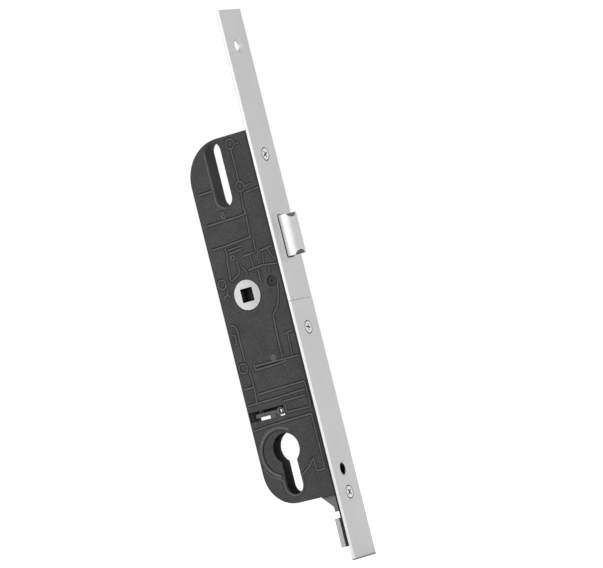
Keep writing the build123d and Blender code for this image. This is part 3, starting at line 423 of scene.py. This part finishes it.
def roundCorners(points, spec):
    # Each corner becomes a quadratic curve, (1-t)^2 start + 2t(1-t) corner + t^2 end, between points a
    # cut's length before and after it.
    points = np.asarray(points, float)
    cut, most = spec["cornerCut"], spec["cornerShare"]
    t = np.linspace(0, 1, spec["cornerPoints"])[:, None]
    parts = [points[:1]]
    for before, corner, after in zip(points[:-2], points[1:-1], points[2:]):
        start = corner + (before - corner) * min(most, cut / np.linalg.norm(before - corner))
        end = corner + (after - corner) * min(most, cut / np.linalg.norm(after - corner))
        parts.append((1 - t) ** 2 * start + 2 * t * (1 - t) * corner + t ** 2 * end)
    parts.append(points[-1:])
    return np.concatenate(parts)


def beadRings(points, spec):
    # Half-oval section carried along the line: across = a cos v, out = h sin v, below the face a
    # shallow root. Near both ends it shrinks as the side of a circle, so the bead has a round nose.
    path = roundCorners(points, spec)
    along = np.concatenate([[0], np.cumsum(np.linalg.norm(np.diff(path, axis=0), axis=1))])
    length, half = along[-1], spec["width"] / 2
    nose = half * (1 - np.cos(np.linspace(spec["noseStart"], np.pi / 2, spec["noseRings"])))
    inner = np.linspace(half, length - half, max(2, int(length / spec["step"])))[1:-1]
    s = np.concatenate([nose, inner, length - nose[::-1]])
    centre = np.stack([np.interp(s, along, path[:, 0]), np.interp(s, along, path[:, 1])], axis=1)
    heading = np.gradient(centre, s, axis=0)
    heading /= np.linalg.norm(heading, axis=1)[:, None]
    toEnd = np.minimum(np.minimum(s, length - s) / half, 1)
    shrink = np.sqrt(1 - (1 - toEnd) ** 2)[:, None]
    v = np.linspace(0, 2 * np.pi, spec["columns"], endpoint=False)[None]
    across = half * np.cos(v) * shrink
    out = np.where(np.sin(v) > 0, spec["height"], spec["sunk"]) * np.sin(v) * shrink
    x = centre[:, :1] - heading[:, 1:] * across
    z = centre[:, 1:] + heading[:, :1] * across
    return np.stack([x, spec["face"] - out, z], axis=-1)


def buttonRings(place, spec):
    # A shallow dome: radius = r cos u, out = h sin u, with a root in the face.
    x, z, radius = place
    u = np.linspace(0, np.pi / 2 - spec["buttonGap"], spec["buttonRings"])
    radii = np.concatenate([[radius], radius * np.cos(u)])[:, None]
    out = np.concatenate([[-spec["sunk"]], spec["buttonHeight"] * np.sin(u)])[:, None]
    angle = np.linspace(0, 2 * np.pi, spec["buttonColumns"], endpoint=False)[None]
    y = spec["face"] - out + 0 * angle
    return np.stack([x + radii * np.cos(angle), y, z + radii * np.sin(angle)], axis=-1)


roundLines = [arcPoints((x, z), radius, *relief["ringArc"]) for x, z, radius in relief["rings"]]
shells = [beadRings(line, relief) for line in relief["lines"]]
shells += [beadRings(line, dict(relief, width=wide, height=high))
           for wide, high, line in relief["rims"]]
shells += [beadRings(line, relief) for line in roundLines]
shells += [buttonRings(place, relief) for place in relief["buttons"]]
coverRelief = makePiece("coverRelief", shells, "case", materials["highlightedPowderCoat"])
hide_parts("cover_ribs")

# Thin dark ribbons at the feet of the raised lines: painted shadow.
shadowFilm = dict(relief, width=lineShadow["width"], height=lineShadow["height"], columns=lineShadow["columns"])
shadowedLines = relief["lines"] + roundLines[:lineShadow["shadowedRings"]]
shells = [beadRings(np.add(line, lineShadow["shift"]), shadowFilm) for line in shadowedLines]
makePiece("coverLineShadows", shells, "case", materials["paintedLineShadow"])

screws = {
    "front": 32.0,              # the faceplate's front face, in X
    "heights": (76.3, -26.9, -125.0),
    "turns": (0.5, -0.2, 0.7),  # where each recess came to rest, in radians
    "headRadius": 3.5,
    "headDepth": 1.4,
    "dome": 0.15,
    "shankRadius": 2.45,
    "length": 6.4,
    "rimBreak": 0.05,           # the broken edge of the head
    "rimDepth": 0.2,            # where its cone begins
    "tipBreak": 0.5,            # the broken edge of the shank's end
    "armHalf": 0.52,            # half the width of the cross's arms
    "armReach": 2.4,
    "recessDepth": 1.3,
    "wallSlope": 0.35,
    "shallowAt": 4.08,          # radius at which the cross would run out
    "shallowest": 0.3,
    "crossRings": (0.04, 3.0, 40),      # first and last radius, and how many rings, over the cross
    "rimRings": (3.1, 3.35, 6),         # and outside it
    "columns": 160,
}


def easeIn(values):  # 0 below 0, 1 above 1, and a smooth rise between
    t = np.clip(values, 0, 1)
    return t * t * (3 - 2 * t)


def screwRings(height, turn, spec):
    # Rings run out over the head, down the cone and along the shank. Inside the head the face sinks by
    # the signed distance into a cross, eased over the slope of its walls.
    headR, shankR, length = spec["headRadius"], spec["shankRadius"], spec["length"]
    rim, tip = spec["rimBreak"], spec["tipBreak"]
    face = np.concatenate([np.linspace(*spec["crossRings"]), np.linspace(*spec["rimRings"])])
    radius = np.concatenate([face, [headR - rim, headR, shankR, shankR, shankR - tip]])[:, None]
    depth = np.concatenate([0 * face, [rim, spec["rimDepth"], spec["headDepth"], length - tip, length]])
    angle = np.linspace(0, 2 * np.pi, spec["columns"], endpoint=False)
    y, z = radius * np.cos(angle), radius * np.sin(angle)
    reach, half = spec["armReach"], spec["armHalf"]
    flatArm = np.maximum(np.abs(y) - reach, np.abs(z) - half)
    uprightArm = np.maximum(np.abs(z) - reach, np.abs(y) - half)
    inCross = -np.minimum(flatArm, uprightArm)
    taper = np.clip(1 - radius / spec["shallowAt"], spec["shallowest"], 1)
    sink = spec["recessDepth"] * taper * easeIn(inCross / spec["wallSlope"])
    fall = spec["dome"] * (radius / headR) ** 2
    onFace = (np.arange(len(radius)) < len(face))[:, None]
    x = spec["front"] - depth[:, None] - np.where(onFace, sink + fall, 0)
    turnedY = y * np.cos(turn) - z * np.sin(turn)
    turnedZ = y * np.sin(turn) + z * np.cos(turn)
    return np.stack([x, turnedY, height + turnedZ], axis=-1)


shells = [screwRings(height, turn, screws) for height, turn in zip(screws["heights"], screws["turns"])]
plateScrews = makePiece("plateScrews", shells, "case", materials["brightZincSteel"])
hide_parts("faceplate_screws")

springs = {  # each one's joint, the way it shortens, its still end in mm, and the share it keeps
    "latch_spring": ("latch_draw", (1, 0, 0), (-1.94, 0.0, 0.0), 0.675),
    "tumbler_spring": ("tumbler_lift", (0, 0, 1), (0.0, 0.0, -63.85), 0.585),
}
for name, (joint, way, end, share) in springs.items():
    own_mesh(nodes[name])

studio = {
    "floorSide": 6.0,          # half its width, in metres
    "floorColour": "#F2F2F2",
    "floorLift": 0.42,         # what the camera sees on top of the lit paper
    "floorGlint": 0.12,        # and what reflections and clear parts see there
    "skyToDiffuse": 0.6,
    "skyToGlossy": 0.78,
    "skyToCamera": 1.0,
    "panels": (                # towards, where it starts and ends as a cosine, and how much it adds
        ((-0.34, -0.94, 0.0), 0.1, 1.0, 0.95),
        ((-0.857, 0.515, 0.0), 0.15, 0.8, -0.74),
    ),
    "lamps": {                 # towards the lamp, strength, spread in radians
        "keyLamp": ((-0.45, -0.80, 0.40), 1.3, 1.0),
        "fillLamp": ((0.75, -0.45, 0.45), 0.5, 1.2),
    },
}


def levelByRay(tree, diffuse, camera, glossy=0.0, room=None):
    # One level for diffuse rays, one for the camera, and for reflections and clear parts another one or
    # what the room has in their direction.
    rays = addNode(tree, "ShaderNodeLightPath")
    seen = addNode(tree, "ShaderNodeMath", {"operation": "MAXIMUM"},
                   {0: rays.outputs["Is Glossy Ray"], 1: rays.outputs["Is Transmission Ray"]})
    indirect = addNode(tree, "ShaderNodeMix", {"data_type": "FLOAT", 2: diffuse, 3: glossy},
                       {0: seen.outputs[0]})
    if room is not None:
        tree.links.new(room, indirect.inputs[3])
    level = addNode(tree, "ShaderNodeMix", {"data_type": "FLOAT", 3: camera},
                    {0: rays.outputs["Is Camera Ray"], 2: indirect.outputs[0]})
    return level.outputs[0]


def makeFloor(spec):  # matt white paper, lit past white where no shadow falls
    side, level = spec["floorSide"], cadBox[0].z
    mesh = bpy.data.meshes.new("studioFloor")
    corners = [(-side, -side, level), (side, -side, level), (side, side, level), (-side, side, level)]
    mesh.from_pydata(corners, [], [(0, 1, 2, 3)])
    floor = bpy.data.objects.new("studioFloor", mesh)
    bpy.context.scene.collection.objects.link(floor)
    paper = bpy.data.materials.new("seamlessPaper")
    paper.use_nodes = True
    tree = paper.node_tree
    tree.nodes.remove(tree.nodes["Principled BSDF"])
    lift = levelByRay(tree, 0.0, spec["floorLift"], glossy=spec["floorGlint"])
    matt = addNode(tree, "ShaderNodeBsdfDiffuse", {"Color": linear(spec["floorColour"])})
    glow = addNode(tree, "ShaderNodeEmission", links={"Strength": lift})
    both = addNode(tree, "ShaderNodeAddShader", links={0: matt.outputs[0], 1: glow.outputs[0]})
    tree.links.new(both.outputs[0], tree.nodes["Material Output"].inputs["Surface"])
    mesh.materials.append(paper)


def makeWorld(spec):
    # White to the camera and even to diffuse rays. Metals see a white room with a bright panel and a
    # dark one.
    world = bpy.data.worlds.new("studioWorld")
    bpy.context.scene.world = world
    world.use_nodes = True
    tree = world.node_tree
    shade = tree.nodes["Background"]
    shade.inputs["Color"].default_value = (1, 1, 1, 1)
    towards = addNode(tree, "ShaderNodeTexCoord").outputs["Generated"]
    panels = []
    for way, begins, ends, gain in spec["panels"]:
        lean = addNode(tree, "ShaderNodeVectorMath", {"operation": "DOT_PRODUCT", 1: way}, {0: towards})
        panels.append(addNode(tree, "ShaderNodeMapRange",
                              {"interpolation_type": "SMOOTHSTEP", "From Min": begins,
                               "From Max": ends, "To Max": gain}, {"Value": lean.outputs["Value"]}))
    bright, dark = panels
    room = addNode(tree, "ShaderNodeMath", {"operation": "ADD", 1: spec["skyToGlossy"]},
                   {0: bright.outputs[0]})
    room = addNode(tree, "ShaderNodeMath", {"operation": "ADD"},
                   {0: room.outputs[0], 1: dark.outputs[0]})
    level = levelByRay(tree, spec["skyToDiffuse"], spec["skyToCamera"], room=room.outputs[0])
    tree.links.new(level, shade.inputs["Strength"])


def facing(axisX, axisY, axisZ, place):  # the matrix whose columns are these axes and this place
    turned = np.eye(4)
    turned[:3, :4] = np.stack([axisX, axisY, axisZ, place], axis=1)
    return Matrix(turned.tolist())


def makeLamp(name, towards, strength, spread):  # a soft sun, which the panels stand for in reflections
    light = bpy.data.lights.new(name, "SUN")
    light.energy, light.angle = strength, spread
    holder = bpy.data.objects.new(name, light)
    back = np.array(towards) / np.linalg.norm(towards)
    side = np.cross((0, 0, 1), back)
    side /= np.linalg.norm(side)
    holder.matrix_world = facing(side, np.cross(back, side), back, (0, 0, 0))
    holder.visible_glossy = False
    bpy.context.scene.collection.objects.link(holder)


makeFloor(studio)
makeWorld(studio)
for name, lamp in studio["lamps"].items():
    makeLamp(name, *lamp)

camera = {  # a long lens, leaned over as the photograph is
    "place": (1.22472, -1.98087, -0.08369),
    "right": (0.82720, 0.50711, -0.24202),
    "up": (0.22525, 0.09534, 0.96963),
    "back": (0.51478, -0.85659, -0.03536),
    "lens": 238.806,
    "sensor": 36.0,
    "clip": (0.1, 50.0),
}
lensData = bpy.data.cameras.new("studioCamera")
lensData.lens, lensData.sensor_width = camera["lens"], camera["sensor"]
lensData.clip_start, lensData.clip_end = camera["clip"]
viewer = bpy.data.objects.new("studioCamera", lensData)
bpy.context.scene.collection.objects.link(viewer)
viewer.matrix_world = facing(camera["right"], camera["up"], camera["back"], camera["place"])
bpy.context.scene.camera = viewer
bpy.context.scene.view_settings.view_transform = "Standard"
print("studio and camera set")
